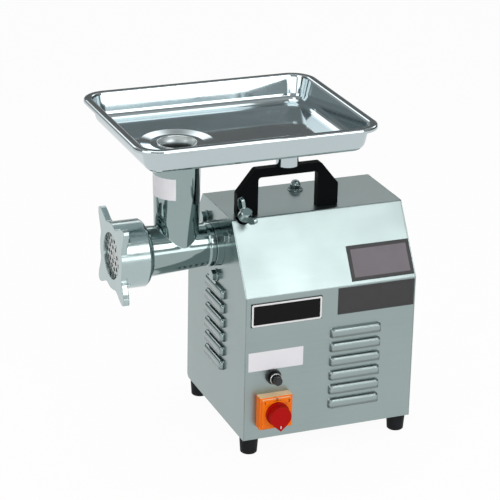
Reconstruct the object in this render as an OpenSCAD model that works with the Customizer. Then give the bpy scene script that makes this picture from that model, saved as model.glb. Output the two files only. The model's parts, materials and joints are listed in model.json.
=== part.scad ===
// Size 12 electric meat grinder: sheet steel case, geared motor, lift-out head and feed pan.
// X runs from the ring nut (negative) to the closed end, Y from front to back, Z up.

/* [Case] */
// Length of the case along X
case_w = 233; // [200:1:290]
// Depth of the case, front to back
case_d = 207; // [180:1:260]
// Height of the upright walls
wall_h = 196; // [190:1:240]
// Height of the sloped part above the walls
slope_h = 85.4; // [72:0.1:102]
// How far the front slope leans back
front_inset = 53.5; // [30:0.5:64]
// How far the rear slope leans forward
rear_inset = 50; // [30:0.5:60]
// Thickness of the sheet
sheet_t = 1.2; // [0.8:0.1:2]
// Radius of the bends in the sheet
bend_r = 3; // [2:0.5:6]
// Radius of the rear bottom corner
corner_r = 7; // [3:0.5:12]

/* [Feet] */
// Height of a rubber foot
foot_h = 22; // [12:1:30]
// Radius of a rubber foot
foot_r = 12; // [9:0.5:16]
// Distance from a foot's centre to the ends of the case
foot_inset = 13; // [10:1:30]

/* [Louvres] */
// Number of louvres in one column
louvre_count = 6; // [2:1:7]
// Length of a louvre
louvre_len = 69; // [40:1:80]
// Length of a louvre in a side panel
side_louvre_len = 62; // [40:1:80]
// Distance from one louvre to the next
louvre_pitch = 19.7; // [16:0.1:24]
// Height of the hood of a louvre
louvre_rise = 12; // [8:0.5:14]
// How far a hood stands out of the panel
louvre_out = 5; // [3:0.5:7]

/* [Head] */
// Height of the head's axis above the base of the case
axis_h = 233; // [210:1:250]
// Radius of the tube behind the ring nut
tube_r_front = 32.5; // [30:0.5:36]
// Radius of the tube near the case
tube_r_rear = 27.5; // [26:0.5:31]
// Radius of the tube's bore at the knife
bore_r_front = 26.5; // [24:0.5:28]
// Radius of the tube's bore near the case
bore_r_rear = 22.5; // [20:0.5:24]
// Radius of the spigot that enters the case
spigot_r = 24.9; // [22:0.1:28]
// Length of the spigot
spigot_len = 34; // [28:1:36]
// Distance from the case to the shoulder of the head
snout_len = 9.8; // [6:0.1:14]
// Distance from the shoulder to the front edge of the mouth
head_len = 125.7; // [118:0.1:150]
// Radius of the mouth that holds the knife and the plate
mouth_r = 35.3; // [33:0.1:40]
// Radius of the outside of the threaded mouth
thread_r = 39.75; // [38:0.05:46]
// Length of the threaded mouth
thread_len = 34; // [26:1:40]
// Distance from the case to the centre of the feed throat
throat_off = 54.9; // [50:0.1:70]
// Outer radius of the feed throat
throat_r = 30; // [29:0.5:36]
// Outer radius of the feed throat where it meets the tube
throat_foot_r = 28; // [27:0.5:34]
// Inner radius of the feed throat
throat_bore_r = 26; // [22:0.5:28]
// Height of the throat's rim above the axis
throat_h = 138.7; // [110:0.1:160]

/* [Auger and knife] */
// Pitch of the auger's flight
auger_pitch = 30; // [22:1:38]
// Radius of the auger's core
auger_core_r = 12; // [9:0.5:14]
// Radius of the auger's journal
journal_r = 14; // [12:0.5:16]
// Side of the square tongue that is driven
tongue_w = 12; // [9:0.5:14]
// Side of the square that drives the knife
knife_square = 9; // [7:0.5:11]
// Radius of the pin that runs in the plate
plate_pin_r = 4.5; // [3.5:0.1:6]
// Radius of the knife
knife_r = 33; // [30:0.5:34.5]
// Thickness of the knife
knife_t = 9; // [6:0.5:11]

/* [Plate and ring nut] */
// Thickness of the perforated plate
plate_t = 6; // [4:0.5:10]
// Radius of one hole in the plate
plate_hole_r = 3; // [1.5:0.25:4]
// Radius of the opening in the ring nut
ring_open_r = 30; // [27:0.5:32]
// Radius of the ring nut's skirt
ring_skirt_r = 43.3; // [42.5:0.1:52]
// Radius at the tip of a lug
lug_tip_r = 69; // [56:1:82]
// Radius between two lugs
lug_valley_r = 43; // [42:0.5:50]
// Thickness of the front of the ring nut
ring_front_t = 7.5; // [6:0.5:10]
// Length of the ring nut
ring_len = 41; // [34:1:48]
// Thickness of the lip in front of the plate
ring_lip_t = 4; // [3:0.5:5]

/* [Feed pan] */
// Length of the pan over its rim
pan_len = 316.5; // [280:0.5:380]
// Width of the pan over its rim
pan_w = 252; // [220:1:302]
// Depth of the pan from rim to underside
pan_depth = 37; // [30:1:46]
// Width of the flat rim
rim_w = 10; // [8:0.5:14]
// Height of the turned-down lip
lip_h = 5; // [3:0.5:8]
// Thickness of the pan's sheet
pan_t = 1.2; // [0.8:0.1:2]
// Outer corner radius of the rim
pan_corner_r = 33; // [31:1:44]
// How far a wall leans in from top to bottom
pan_draft = 8; // [4:0.5:10]
// How far the floor is dished round the hole
pan_dish = 2; // [1:0.5:4]
// Distance from the pan's outer end to the throat's centre
pan_hole_off = 90; // [80:1:110]
// Length of the collar below the pan
collar_len = 20; // [12:1:30]
// Outer radius of the pan's leg
leg_r = 14.4; // [10:0.1:18]

/* [Handle] */
// Length of the handle
handle_len = 137; // [110:1:165]
// Height of the handle above the case
handle_h = 59.3; // [50:0.1:60]
// Height of the handle's top bar
handle_bar_h = 11.5; // [9:0.5:16]
// Width of a leg of the handle
handle_leg_w = 28; // [20:1:34]
// Thickness of the handle, front to back
handle_t = 11; // [9:0.5:16]
// Distance from the front bend to the handle
handle_back = 11; // [8:0.5:24]
// Distance from the case's end to the handle
handle_off = 11.5; // [8:0.5:30]

/* [Gears] */
// Gear module
gear_module = 2; // [1.8:0.05:2.1]
// Teeth of both pinions
pinion_teeth = 15; // [14:1:16]
// Teeth of the countershaft gear
counter_teeth = 42; // [38:1:43]
// Teeth of the output gear
output_teeth = 40; // [36:1:40]

/* [Motor] */
// Outer radius of the motor shell
motor_r = 63; // [56:0.5:68]
// Length of the stator core
stator_len = 40; // [30:1:50]
// Radius of the rotor core
rotor_r = 34.7; // [28:0.1:40]
// Radius of the motor shaft
motor_shaft_r = 8; // [7:0.5:9]
// Radius of the fan
fan_r = 48; // [38:1:56]

/* [Controls] */
// Side of the square switch box
switch_w = 44; // [38:1:50]
// How far the switch box stands out
switch_out = 16; // [10:0.5:20]
// Distance from the case's end to the switch's centre
switch_off = 39; // [34:1:60]
// Height of the switch's centre above the base
switch_z = 41; // [30:1:60]
// Radius of the switch knob
knob_r = 15.5; // [12:0.5:18]
// How far the switch knob stands out of its box
knob_out = 14; // [10:0.5:20]
// Height of the reset button above the base
reset_z = 85.5; // [80:0.5:110]
// Radius of the reset button
reset_r = 5.5; // [4:0.25:7]
// Travel of the reset button
reset_travel = 3; // [2:0.5:4]

/* [Clamp screw] */
// Distance from the case's end to the clamp screw
clamp_off = 15.5; // [13:0.5:18]
// Angle of the clamp screw above the horizontal
clamp_angle = 45; // [42:1:48]
// Radius of the clamp screw
clamp_r = 5.9; // [4.5:0.1:7]

/* [Hidden] */
$fn = 64;

// clearances
move_gap = 0.3;      // between pieces that move past each other
run_gap = 0.05;      // radial clearance of a running shaft
seat_gap = 0.03;     // radial clearance of a fixed seat
cut = 1;             // overrun of a cutting tool

// case
half_w = case_w / 2;
half_d = case_d / 2;
base_z = foot_h;
shoulder_z = base_z + wall_h;
top_z = shoulder_z + slope_h;
front_bend_y = -half_d + front_inset;
rear_bend_y = half_d - rear_inset;
front_slope_angle = atan2(slope_h, front_inset);
house = [[-half_d, base_z], [half_d, base_z], [half_d, shoulder_z], [rear_bend_y, top_z],
         [front_bend_y, top_z], [-half_d, shoulder_z]];
house_radii = [0.6, corner_r, bend_r, bend_r, bend_r, bend_r];
flange_w = 12;
louvre_top_z = base_z + 140;
side_louvre_top_z = base_z + 179;
panel_x = half_w - sheet_t;

// head
head_z = base_z + axis_h;
shoulder_x = -half_w - snout_len;
mouth_x = shoulder_x - head_len;
thread_rear_x = mouth_x + thread_len;
throat_x = -half_w - throat_off;
throat_top_z = head_z + throat_h;
spigot_end_x = shoulder_x + spigot_len;
socket_end_x = spigot_end_x + 2;
snout_r = spigot_r + 4.1;
plate_gap = move_gap;
lip_x = mouth_x - 2;                       // inner face of the ring nut's lip
ring_front_x = lip_x - ring_lip_t;
ring_rear_x = ring_front_x + ring_len;
plate_x = lip_x + plate_gap;
plate_rear_x = plate_x + plate_t;
knife_x = plate_rear_x + move_gap;
knife_rear_x = knife_x + knife_t;
chamber_x = knife_rear_x + 2;              // rear wall of the knife chamber
auger_front_x = knife_rear_x;
bore_end_x = shoulder_x - 8;
auger_rear_x = bore_end_x - 1;
plate_r = mouth_r - move_gap;

// drive, along X
wall_x = socket_end_x;
wall_t = 6;
seal_t = 4;
bearing_x = wall_x + seal_t;
bearing_t = 9;
counter_z = head_z - gear_module * (pinion_teeth + output_teeth) / 2;
motor_z = counter_z - gear_module * (pinion_teeth + counter_teeth) / 2;
output_gear_x = bearing_x + bearing_t + 3;
output_gear_t = 16;
counter_gear_x = output_gear_x + output_gear_t + 2;
counter_gear_t = 10;
cover_x = counter_gear_x + counter_gear_t + 7;
cover_t = 6;
bell_x = cover_x + cover_t;
bell_t = 6;
core_x = bell_x + 30;
rear_bell_x = core_x + stator_len + 22;
bell_rim = 12;
fan_x = rear_bell_x + bell_t + 4;
fan_t = 12;
chamber_wall = 3;
output_room_r = gear_module * (output_teeth / 2 + 1) + 0.5 + chamber_wall;
counter_room_r = gear_module * (counter_teeth / 2 + 1) + 0.5 + chamber_wall;
pinion_room_r = gear_module * (pinion_teeth / 2 + 1) + 2 + chamber_wall;
output_neck_r = 15;
output_shaft_r = 10;
counter_shaft_r = 6;
output_bearing_r = 21;
output_tail_r = 16;
counter_bearing_r = 13;
motor_bearing_r = 17.5;
bolt_circle_r = 44;
bolt_angles = [30, 150, 270];
flange_bolt_r = 4;

// pan
pan_end_x = throat_x - pan_hole_off;
pan_x = pan_end_x + pan_len / 2;
pan_z = throat_top_z + move_gap;
rim_z = pan_z + pan_depth;
collar_r = throat_bore_r - 0.8;
collar_bore_r = collar_r - pan_t;

// handle
handle_x = -half_w + handle_off;
handle_mid_x = handle_x + handle_len / 2;
handle_y = front_bend_y + handle_back;
handle_z = top_z + handle_h;

// controls
switch_x = -half_w + switch_off;
switch_mid_z = base_z + switch_z;
switch_face_y = -half_d - switch_out;
breaker_z = base_z + reset_z;
gland_x = half_w - 56;
gland_z = base_z + 33;

// clamp screw
clamp_x = -half_w + clamp_off;
boss_r = 12;
boss_top = (top_z - sheet_t - 0.5 - head_z - boss_r * cos(clamp_angle)) / sin(clamp_angle);

// round bar along X from x0 to x1 at height z
module bar_x(x0, x1, r, z, y = 0) {
  translate([x0, y, z]) rotate([0, 90, 0]) cylinder(r = r, h = x1 - x0);
}

// round bar along Y from y0 to y1
module bar_y(y0, y1, r, x, z) {
  translate([x, y0, z]) rotate([-90, 0, 0]) cylinder(r = r, h = y1 - y0);
}

// plain tube along X
module tube_x(x0, x1, r, bore, z) {
  difference() {
    bar_x(x0, x1, r, z);
    bar_x(x0 - cut, x1 + cut, bore, z);
  }
}

// outline in the YZ plane, drawn out along X
module along_x(x0, x1) {
  translate([x0, 0, 0]) rotate([90, 0, 90]) linear_extrude(x1 - x0) children();
}

// outline in the XZ plane, drawn out along Y
module along_y(y0, y1) {
  translate([0, y1, 0]) rotate([90, 0, 0]) linear_extrude(y1 - y0) children();
}

// solid turned about the head's axis from points [radius, x]
module turned(points, z = head_z) {
  translate([0, 0, z]) rotate([0, 90, 0]) rotate_extrude() polygon(points);
}

// places children along the clamp screw's axis, which is Z in their frame
module on_clamp_axis() {
  translate([clamp_x, 0, head_z]) rotate([90 - clamp_angle, 0, 0]) children();
}

function unit(v) = v / norm(v);
function cross2(a, b) = a[0] * b[1] - a[1] * b[0];

// convex outline moved inwards by d
function inset(points, d) = let (n = len(points)) [
  for (i = [0 : n - 1])
    let (
      here = points[i],
      u = unit(here - points[(i + n - 1) % n]),
      v = unit(points[(i + 1) % n] - here),
      s = cross2(u, v)
    ) here + d * ([v[0], v[1]] - [u[0], u[1]]) / s
];

// outline with rounded corners, one radius for each corner
function rounded(points, radii, steps = 5) = let (n = len(points)) [
  for (i = [0 : n - 1])
    let (
      here = points[i],
      a = unit(points[(i + n - 1) % n] - here),
      b = unit(points[(i + 1) % n] - here),
      half = acos(a * b) / 2,
      mid = here + unit(a + b) * radii[i] / sin(half),
      start = mid + (here + a * radii[i] / tan(half) - mid),
      from = atan2(start[1] - mid[1], start[0] - mid[0]),
      turn = 180 - 2 * half
    )
    for (k = [0 : steps])
      mid + radii[i] * [cos(from + turn * k / steps), sin(from + turn * k / steps)]
];

function house_outline(d) = rounded(inset(house, d), [for (r = house_radii) max(r - d, 0.3)]);

// pressed louvre, open below: its mouth is at z = 0, its length along X, and it stands out towards -Y
// and reaches back by depth behind the outer face of its panel
module scoop(length, rise, out, depth) {
  arc_r = (rise * rise + out * out) / (2 * out);
  intersection() {
    translate([-cut, arc_r - out, 0]) rotate([0, 90, 0]) cylinder(r = arc_r, h = length + 2 * cut);
    linear_extrude(rise) intersection() {
      union() {
        translate([out, -out]) square([length - 2 * out, 2 * out]);
        translate([out, 0]) circle(out);
        translate([length - out, 0]) circle(out);
      }
      translate([0, -out - cut]) square([length, out + cut + depth]);
    }
  }
}

module louvre_hood(length) {
  difference() {
    scoop(length, louvre_rise, louvre_out, sheet_t / 2);
    louvre_cut(length);
  }
}

module louvre_cut(length) {
  translate([sheet_t, 0, -0.02])
    scoop(length - 2 * sheet_t, louvre_rise - sheet_t, louvre_out - sheet_t, sheet_t + 0.4);
}

// one column of louvres with its first top edge at top, made of hoods or of cuts
module louvre_column(length, top, cuts) {
  for (i = [0 : louvre_count - 1]) {
    translate([0, 0, top - louvre_rise - i * louvre_pitch]) {
      if (cuts) {
        louvre_cut(length);
      } else {
        louvre_hood(length);
      }
    }
  }
}

module front_louvres(cuts) {
  translate([0, -half_d, 0]) louvre_column(louvre_len, louvre_top_z, cuts);
}

// side is -1 for the left panel and 1 for the right one
module side_louvres(side, cuts) {
  translate([side * half_w, -side * side_louvre_len / 2, 0]) rotate([0, 0, 90 * side])
    louvre_column(side_louvre_len, side_louvre_top_z, cuts);
}

module case_wrap() {
  color("#9aa8a6") union() {
    difference() {
      along_x(-panel_x, panel_x) difference() {
        polygon(house_outline(0));
        polygon(house_outline(sheet_t));
        translate([-half_d + sheet_t, base_z - cut]) square([case_d - 2 * sheet_t, 2 * cut + sheet_t]);
        translate([0, base_z - cut]) square([half_d - sheet_t, cut + corner_r]);
        translate([0, base_z - cut]) square([half_d + cut, cut + corner_r]);
      }
      front_louvres(true);
      bar_y(-half_d - cut, -half_d + 2 * cut, 12, switch_x, switch_mid_z);
      bar_y(-half_d - cut, -half_d + 2 * cut, 7.2, switch_x, breaker_z);
      bar_y(half_d - 2 * cut, half_d + cut, 8.1, gland_x, gland_z);
      on_clamp_axis() cylinder(r = clamp_r + 2.5, h = 110);
      for (p = handle_screw_places) {
        translate([p[0], p[1], top_z - 2 * cut]) cylinder(r = 2.6, h = 4 * cut);
      }
      translate([top_bolt_x, top_bolt_y, top_z - 2 * cut]) cylinder(r = 4.1, h = 4 * cut);
    }
    front_louvres(false);
  }
}

module side_panel(side) {
  x0 = side > 0 ? panel_x : -half_w;
  flange_x0 = side > 0 ? panel_x - flange_w : -panel_x;
  union() {
    difference() {
      union() {
        along_x(x0, x0 + sheet_t) polygon(house_outline(0));
        along_x(flange_x0, flange_x0 + flange_w) difference() {
          polygon(house_outline(sheet_t + 0.1));
          polygon(house_outline(2 * sheet_t + 0.1));
        }
      }
      side_louvres(side, true);
      on_clamp_axis() cylinder(r = clamp_r + 8, h = 110);
      for (p = base_screw_places) {
        translate([p[0], p[1], base_z]) cylinder(r = 2.1, h = 4);
      }
      for (p = foot_places) {
        translate([p[0], p[1], base_z]) cylinder(r = 5.6, h = 4);
      }
      if (side < 0) {
        bar_x(-half_w - cut, -panel_x + cut, snout_r + 0.3, head_z);
        for (a = bolt_angles) {
          bar_x(-half_w - cut, -panel_x + cut, flange_bolt_r + 0.2, head_z + bolt_circle_r * sin(a),
                bolt_circle_r * cos(a));
        }
      }
    }
    side_louvres(side, false);
  }
}

module side_panel_left() {
  color("#a3b0ae") side_panel(-1);
}

module side_panel_right() {
  color("#a3b0ae") side_panel(1);
}

foot_socket_r = 6;
foot_socket_h = foot_h / 2 - 4;
foot_head_r = 5;
foot_bolt_r = 2.6;
foot_places = [for (sx = [-1, 1], sy = [-1, 1])
               [sx * (half_w - foot_inset), sy * (half_d - foot_inset)]];
base_screw_places = [for (sx = [-1, 1], y = [-45, 45]) [sx * (half_w - 7), y]];

module base_plate() {
  color("#9aa8a6") difference() {
    translate([-panel_x, -half_d + sheet_t, base_z])
      cube([2 * panel_x, case_d - 2 * sheet_t - corner_r + 1, sheet_t]);
    for (p = foot_places) {
      translate([p[0], p[1], base_z - cut]) cylinder(r = 2.7, h = 4 * cut);
    }
    for (p = base_screw_places) {
      translate([p[0], p[1], base_z - cut]) cylinder(r = 2.2, h = 4 * cut);
    }
    for (i = [0 : 6]) {
      translate([-6 + 12 * i, -80, base_z - cut]) cube([5, 50, 4 * cut]);
    }
  }
}

module base_screws() {
  for (p = base_screw_places) {
    translate([p[0], p[1], base_z]) {
      translate([0, 0, -1.8]) cylinder(r = 3.8, h = 1.8);
      cylinder(r = 2, h = 6);
    }
  }
}

module feet() {
  color("#1c1c1c") for (p = foot_places) {
    translate([p[0], p[1], 0]) difference() {
      rotate_extrude() polygon([[0, 0], [foot_r - 2.2, 0], [foot_r - 1.2, 1], [foot_r, foot_h - 5],
                                [foot_r, foot_h - 0.8], [foot_r - 0.8, foot_h], [0, foot_h]]);
      translate([0, 0, -cut]) cylinder(r = foot_socket_r, h = foot_socket_h + cut);
      translate([0, 0, -cut]) cylinder(r = foot_head_r + move_gap, h = foot_h / 2 + cut);
      translate([0, 0, -cut]) cylinder(r = foot_bolt_r + 0.1, h = foot_h + 2 * cut);
    }
  }
}

module foot_screws() {
  color("silver") for (p = foot_places) {
    translate([p[0], p[1], 0]) {
      translate([0, 0, foot_socket_h + 0.5]) cylinder(r = foot_head_r, h = foot_h / 2 - foot_socket_h - 0.5);
      translate([0, 0, foot_h / 2]) cylinder(r = foot_bolt_r, h = foot_h / 2 + 8);
      translate([0, 0, base_z + sheet_t]) cylinder(r = 4.8, h = 4, $fn = 6);
    }
  }
  color("silver") base_screws();
}

handle_screw_xs = [handle_x + handle_leg_w - 7, handle_x + handle_len - handle_leg_w + 7];
handle_screw_places = [for (x = handle_screw_xs) [x, handle_y + handle_t / 2]];

module handle() {
  chamfer_x = 24;
  chamfer_z = 30;
  window_r = 4;
  x1 = handle_x + handle_len;
  color("#141414") difference() {
    along_y(handle_y, handle_y + handle_t) difference() {
      polygon(rounded([[handle_x, top_z], [x1, top_z], [x1, handle_z - chamfer_z], [x1 - chamfer_x, handle_z],
                       [handle_x + chamfer_x, handle_z], [handle_x, handle_z - chamfer_z]],
                      [1.5, 1.5, 4, 5, 5, 4]));
      polygon(rounded([[handle_x + handle_leg_w, top_z - 10], [x1 - handle_leg_w, top_z - 10],
                       [x1 - handle_leg_w, handle_z - handle_bar_h],
                       [handle_x + handle_leg_w, handle_z - handle_bar_h]],
                      [1, 1, window_r, window_r]));
    }
    for (p = handle_screw_places) {
      translate([p[0], p[1], top_z - cut]) cylinder(r = 2.6, h = 19 + cut);
    }
  }
}

module handle_screws() {
  color("silver") for (p = handle_screw_places) {
    translate([p[0], p[1], top_z - sheet_t - 3]) cylinder(r = 4.6, h = 3);
    translate([p[0], p[1], top_z - sheet_t]) cylinder(r = 2.5, h = 19);
  }
}

top_bolt_x = 2;
top_bolt_y = 28;

module top_bolt() {
  color("silver") translate([top_bolt_x, top_bolt_y, top_z]) {
    cylinder(r = 10, h = 1.6);
    translate([0, 0, 1.6]) cylinder(r = 7.6, h = 6, $fn = 6);
    translate([0, 0, 7.6]) rotate_extrude()
      polygon([[0, 0], [6.2, 0], [5.8, 2.6], [4.6, 4.5], [2.8, 5.6], [1, 6], [0, 6]]);
    translate([0, 0, -14]) cylinder(r = 4, h = 14);
    translate([0, 0, -sheet_t - 6.5]) cylinder(r = 7.5, h = 6.5, $fn = 6);
  }
}

// bare plate on the front wall: x0, x1, z0, z1 from the case's own edges
module plate_on_front(x0, x1, z0, z1, t) {
  translate([x0, -half_d - t, z0]) cube([x1 - x0, t, z1 - z0]);
}

module badge_plate() {
  color("#101010") plate_on_front(-half_w + 7.5, -13.5, shoulder_z - 39.5, shoulder_z - 8.5, 1.5);
}

module front_plate() {
  color("#70706f") plate_on_front(9, half_w - 2, shoulder_z - 38, shoulder_z - 2.5, 0.8);
}

module slope_plate() {
  color("#b5aca8") translate([28.5, -half_d, shoulder_z]) rotate([front_slope_angle - 90, 0, 0])
    translate([0, -0.8, 4]) cube([half_w - 1.5 - 28.5, 0.8, 46]);
}

// outline of the gear chamber in the YZ plane, larger by grow
module chamber_outline(grow) {
  translate([0, head_z]) circle(output_room_r + grow);
  translate([0, counter_z]) circle(counter_room_r + grow);
  translate([0, motor_z]) circle(pinion_room_r + grow);
  neck_r = output_room_r + grow - 4;
  translate([-neck_r, counter_z]) square([2 * neck_r, head_z - counter_z]);
  translate([-pinion_room_r - grow, motor_z]) square([2 * (pinion_room_r + grow), counter_z - motor_z]);
}

module gearbox_housing() {
  flange_x0 = -panel_x;
  flange_t = 7;
  color("#b8babc") difference() {
    union() {
      bar_x(-half_w - snout_len + move_gap, wall_x + wall_t, snout_r, head_z);
      bar_x(flange_x0, wall_x + wall_t, snout_r + 3, head_z);
      bar_x(flange_x0, flange_x0 + flange_t, bolt_circle_r - 3, head_z);
      for (a = bolt_angles) {
        bar_x(flange_x0, flange_x0 + flange_t, 9, head_z + bolt_circle_r * sin(a), bolt_circle_r * cos(a));
      }
      along_x(wall_x, cover_x) chamber_outline(0);
      on_clamp_axis() cylinder(r = boss_r, h = boss_top);
    }
    along_x(wall_x + wall_t, cover_x + cut) chamber_outline(-chamber_wall);
    bar_x(-half_w - snout_len - cut, wall_x, spigot_r + 0.1, head_z);
    bar_x(wall_x - cut, wall_x + wall_t + cut, output_bearing_r, head_z);
    bar_x(wall_x + 2, wall_x + wall_t + cut, counter_bearing_r, counter_z);
    on_clamp_axis() translate([0, 0, 20]) cylinder(r = clamp_r + 0.3, h = boss_top);
    for (a = bolt_angles) {
      bar_x(flange_x0 - cut, flange_x0 + flange_t + cut, flange_bolt_r + seat_gap,
            head_z + bolt_circle_r * sin(a), bolt_circle_r * cos(a));
    }
    for (p = cover_screw_places) {
      bar_x(cover_x - 12, cover_x + cut, 2 + seat_gap, p[1], p[0]);
    }
  }
  // seat of the output bearing, behind the wall
  color("#b8babc") tube_x(wall_x + wall_t, bearing_x + bearing_t, output_bearing_r + 3, output_bearing_r, head_z);
}

cover_screw_places = [for (s = [-1, 1], a = [42, -8]) [s * (output_room_r - 1) * cos(a),
                                                       head_z + (output_room_r - 1) * sin(a)]];

module gearbox_cover() {
  color("#aeb0b2") difference() {
    union() {
      along_x(cover_x, cover_x + cover_t) {
        chamber_outline(0);
        translate([0, motor_z]) circle(motor_r);
      }
      bar_x(cover_x, cover_x + cover_t + 5, output_tail_r + 3, head_z);
    }
    bar_x(cover_x - cut, cover_x + cover_t + 3, output_tail_r, head_z);
    bar_x(cover_x - cut, cover_x + cover_t - 2, counter_bearing_r, counter_z);
    bar_x(cover_x - cut, cover_x + cover_t + cut, gear_module * (pinion_teeth / 2 + 1) + 2, motor_z);
    for (p = cover_screw_places) {
      bar_x(cover_x - cut, cover_x + cover_t + cut, 2.2, p[1], p[0]);
    }
  }
}

module cover_screws() {
  color("silver") for (p = cover_screw_places) {
    bar_x(cover_x - 10, cover_x + cover_t, 2, p[1], p[0]);
    bar_x(cover_x + cover_t, cover_x + cover_t + 3, 3.6, p[1], p[0]);
  }
}

module flange_bolts() {
  color("#c8ccca") for (a = bolt_angles) {
    y = bolt_circle_r * cos(a);
    z = head_z + bolt_circle_r * sin(a);
    bar_x(-half_w - 1.4, -half_w, 8.2, z, y);
    translate([-half_w - 7.4, y, z]) rotate([0, 90, 0]) cylinder(r = 7.4, h = 6, $fn = 6);
    bar_x(-half_w, -panel_x + 7, flange_bolt_r, z, y);
  }
}

module shaft_seal() {
  color("#222222") tube_x(wall_x, bearing_x, output_bearing_r - seat_gap, output_neck_r + run_gap, head_z);
}

// bearing: a plain ring between its seat and its shaft
module bearing(x0, t, outer_r, bore_r, z) {
  tube_x(x0, x0 + t, outer_r - seat_gap, bore_r + run_gap, z);
}

module output_bearings() {
  color("#d0d3d6") {
    bearing(bearing_x, bearing_t, output_bearing_r, output_neck_r, head_z);
    bearing(cover_x, cover_t + 3, output_tail_r, output_shaft_r, head_z);
  }
}

module counter_bearings() {
  color("#d0d3d6") {
    bearing(wall_x + 2, wall_t, counter_bearing_r, counter_shaft_r, counter_z);
    bearing(cover_x - 2, cover_t, counter_bearing_r, counter_shaft_r, counter_z);
  }
}

module motor_bearings() {
  color("#d0d3d6") {
    bearing(bell_x + 2, 10, motor_bearing_r, motor_shaft_r, motor_z);
    bearing(rear_bell_x - 8, 10, motor_bearing_r, motor_shaft_r, motor_z);
  }
}

module motor_shell() {
  color("#5b6166") tube_x(bell_x + bell_rim, rear_bell_x + bell_t - bell_rim, motor_r, motor_r - 3, motor_z);
}

tie_r = motor_r - 6.3;
tie_places = [for (a = [45 : 90 : 315]) [tie_r * cos(a), motor_z + tie_r * sin(a)]];

module end_bell(disc_x, rim_x0, rim_x1, boss_x0, boss_x1, seat_x0, seat_x1) {
  difference() {
    union() {
      bar_x(disc_x, disc_x + bell_t, motor_r, motor_z);
      tube_x(rim_x0, rim_x1, motor_r, motor_r - 3, motor_z);
      bar_x(boss_x0, boss_x1, motor_bearing_r + 3, motor_z);
    }
    bar_x(seat_x0, seat_x1, motor_bearing_r, motor_z);
    bar_x(disc_x - 20, disc_x + 20, motor_shaft_r + 1.5, motor_z);
    for (p = tie_places) {
      bar_x(disc_x - cut, disc_x + bell_t + cut, 2.5 + seat_gap, p[1], p[0]);
    }
    for (a = [0 : 60 : 300]) {
      bar_x(disc_x - cut, disc_x + bell_t + cut, 7, motor_z + 38 * sin(a), 38 * cos(a));
    }
  }
}

module front_bell() {
  color("#8b9094") end_bell(bell_x, bell_x, bell_x + bell_rim, bell_x, bell_x + 14, bell_x + 2,
                            bell_x + 12);
}

module rear_bell() {
  color("#8b9094") end_bell(rear_bell_x, rear_bell_x + bell_t - bell_rim, rear_bell_x + bell_t,
                            rear_bell_x - 10, rear_bell_x + bell_t, rear_bell_x - 8, rear_bell_x + 2);
}

winding_in_r = rotor_r + 5;
winding_out_r = motor_r - 10;

module stator_core() {
  color("#8c8f92") difference() {
    bar_x(core_x, core_x + stator_len, motor_r - 3 - seat_gap, motor_z);
    bar_x(core_x - cut, core_x + stator_len + cut, rotor_r + 0.4, motor_z);
    for (p = tie_places) {
      bar_x(core_x - cut, core_x + stator_len + cut, 2.8, p[1], p[0]);
    }
    for (a = [0 : 30 : 330]) {
      translate([core_x - cut, 0, motor_z]) rotate([a, 0, 0])
        translate([0, -2, rotor_r]) cube([stator_len + 2 * cut, 4, 14]);
    }
  }
}

module stator_windings() {
  color("#b5652b") {
    for (x = [core_x - 12, core_x + stator_len]) {
      translate([x, 0, motor_z]) rotate([0, 90, 0]) rotate_extrude()
        polygon([[winding_in_r, 0], [winding_out_r - 3, 0], [winding_out_r, 3], [winding_out_r, 9],
                 [winding_out_r - 3, 12], [winding_in_r + 3, 12], [winding_in_r, 9]]);
    }
    for (a = [0 : 30 : 330]) {
      translate([core_x, 0, motor_z]) rotate([a, 0, 0])
        translate([0, -1.8, winding_in_r]) cube([stator_len, 3.6, 8.5]);
    }
  }
}

module tie_bolts() {
  color("silver") for (p = tie_places) {
    bar_x(bell_x, rear_bell_x + bell_t, 2.5, p[1], p[0]);
    bar_x(rear_bell_x + bell_t, rear_bell_x + bell_t + 4, 4.6, p[1], p[0]);
  }
}

module motor_cradle() {
  x0 = core_x + stator_len / 2 - 12;
  color("#7d8386") along_x(x0, x0 + 24) difference() {
    translate([-46, base_z + sheet_t]) square([92, motor_z - base_z - sheet_t - 36]);
    translate([0, motor_z]) circle(motor_r + seat_gap);
    translate([-34, base_z + sheet_t + 5]) square([68, 18]);
  }
}

capacitor_r = 19;
capacitor_wall_gap = 10.5;
capacitor_y = half_d - capacitor_r - capacitor_wall_gap;
capacitor_z = base_z + 2 * sheet_t + 0.2 + capacitor_r + 2;
capacitor_x = -half_w + 20;

module capacitor() {
  color("#d9dcdd") {
    bar_x(capacitor_x, capacitor_x + 78, capacitor_r, capacitor_z, capacitor_y);
    bar_x(capacitor_x + 78, capacitor_x + 84, capacitor_r - 6, capacitor_z, capacitor_y);
  }
}

module capacitor_clip() {
  color("#6f7578") difference() {
    union() {
      bar_x(capacitor_x + 28, capacitor_x + 44, capacitor_r + 1.5, capacitor_z, capacitor_y);
      translate([capacitor_x + 28, capacitor_y - capacitor_r - 10, base_z + sheet_t])
        cube([16, 2 * capacitor_r + 12, 3]);
    }
    bar_x(capacitor_x, capacitor_x + 78, capacitor_r + seat_gap, capacitor_z, capacitor_y);
  }
}

module terminal_block() {
  color("#e6e1d2") difference() {
    translate([gland_x - 26, half_d - 40, base_z + sheet_t]) cube([52, 16, 16]);
    for (i = [0 : 4]) {
      translate([gland_x - 20 + 10 * i, half_d - 32, base_z + sheet_t + 6]) cylinder(r = 2.2, h = 20);
    }
  }
}

module cord_gland() {
  color("#161616") difference() {
    union() {
      bar_y(half_d, half_d + 3, 12, gland_x, gland_z);
      bar_y(half_d + 3, half_d + 12, 8.5, gland_x, gland_z);
      bar_y(half_d - 12, half_d, 8, gland_x, gland_z);
      bar_y(half_d - sheet_t - 5, half_d - sheet_t, 11.5, gland_x, gland_z);
    }
    bar_y(half_d - 13, half_d + 13, 4.5, gland_x, gland_z);
  }
}

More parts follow.
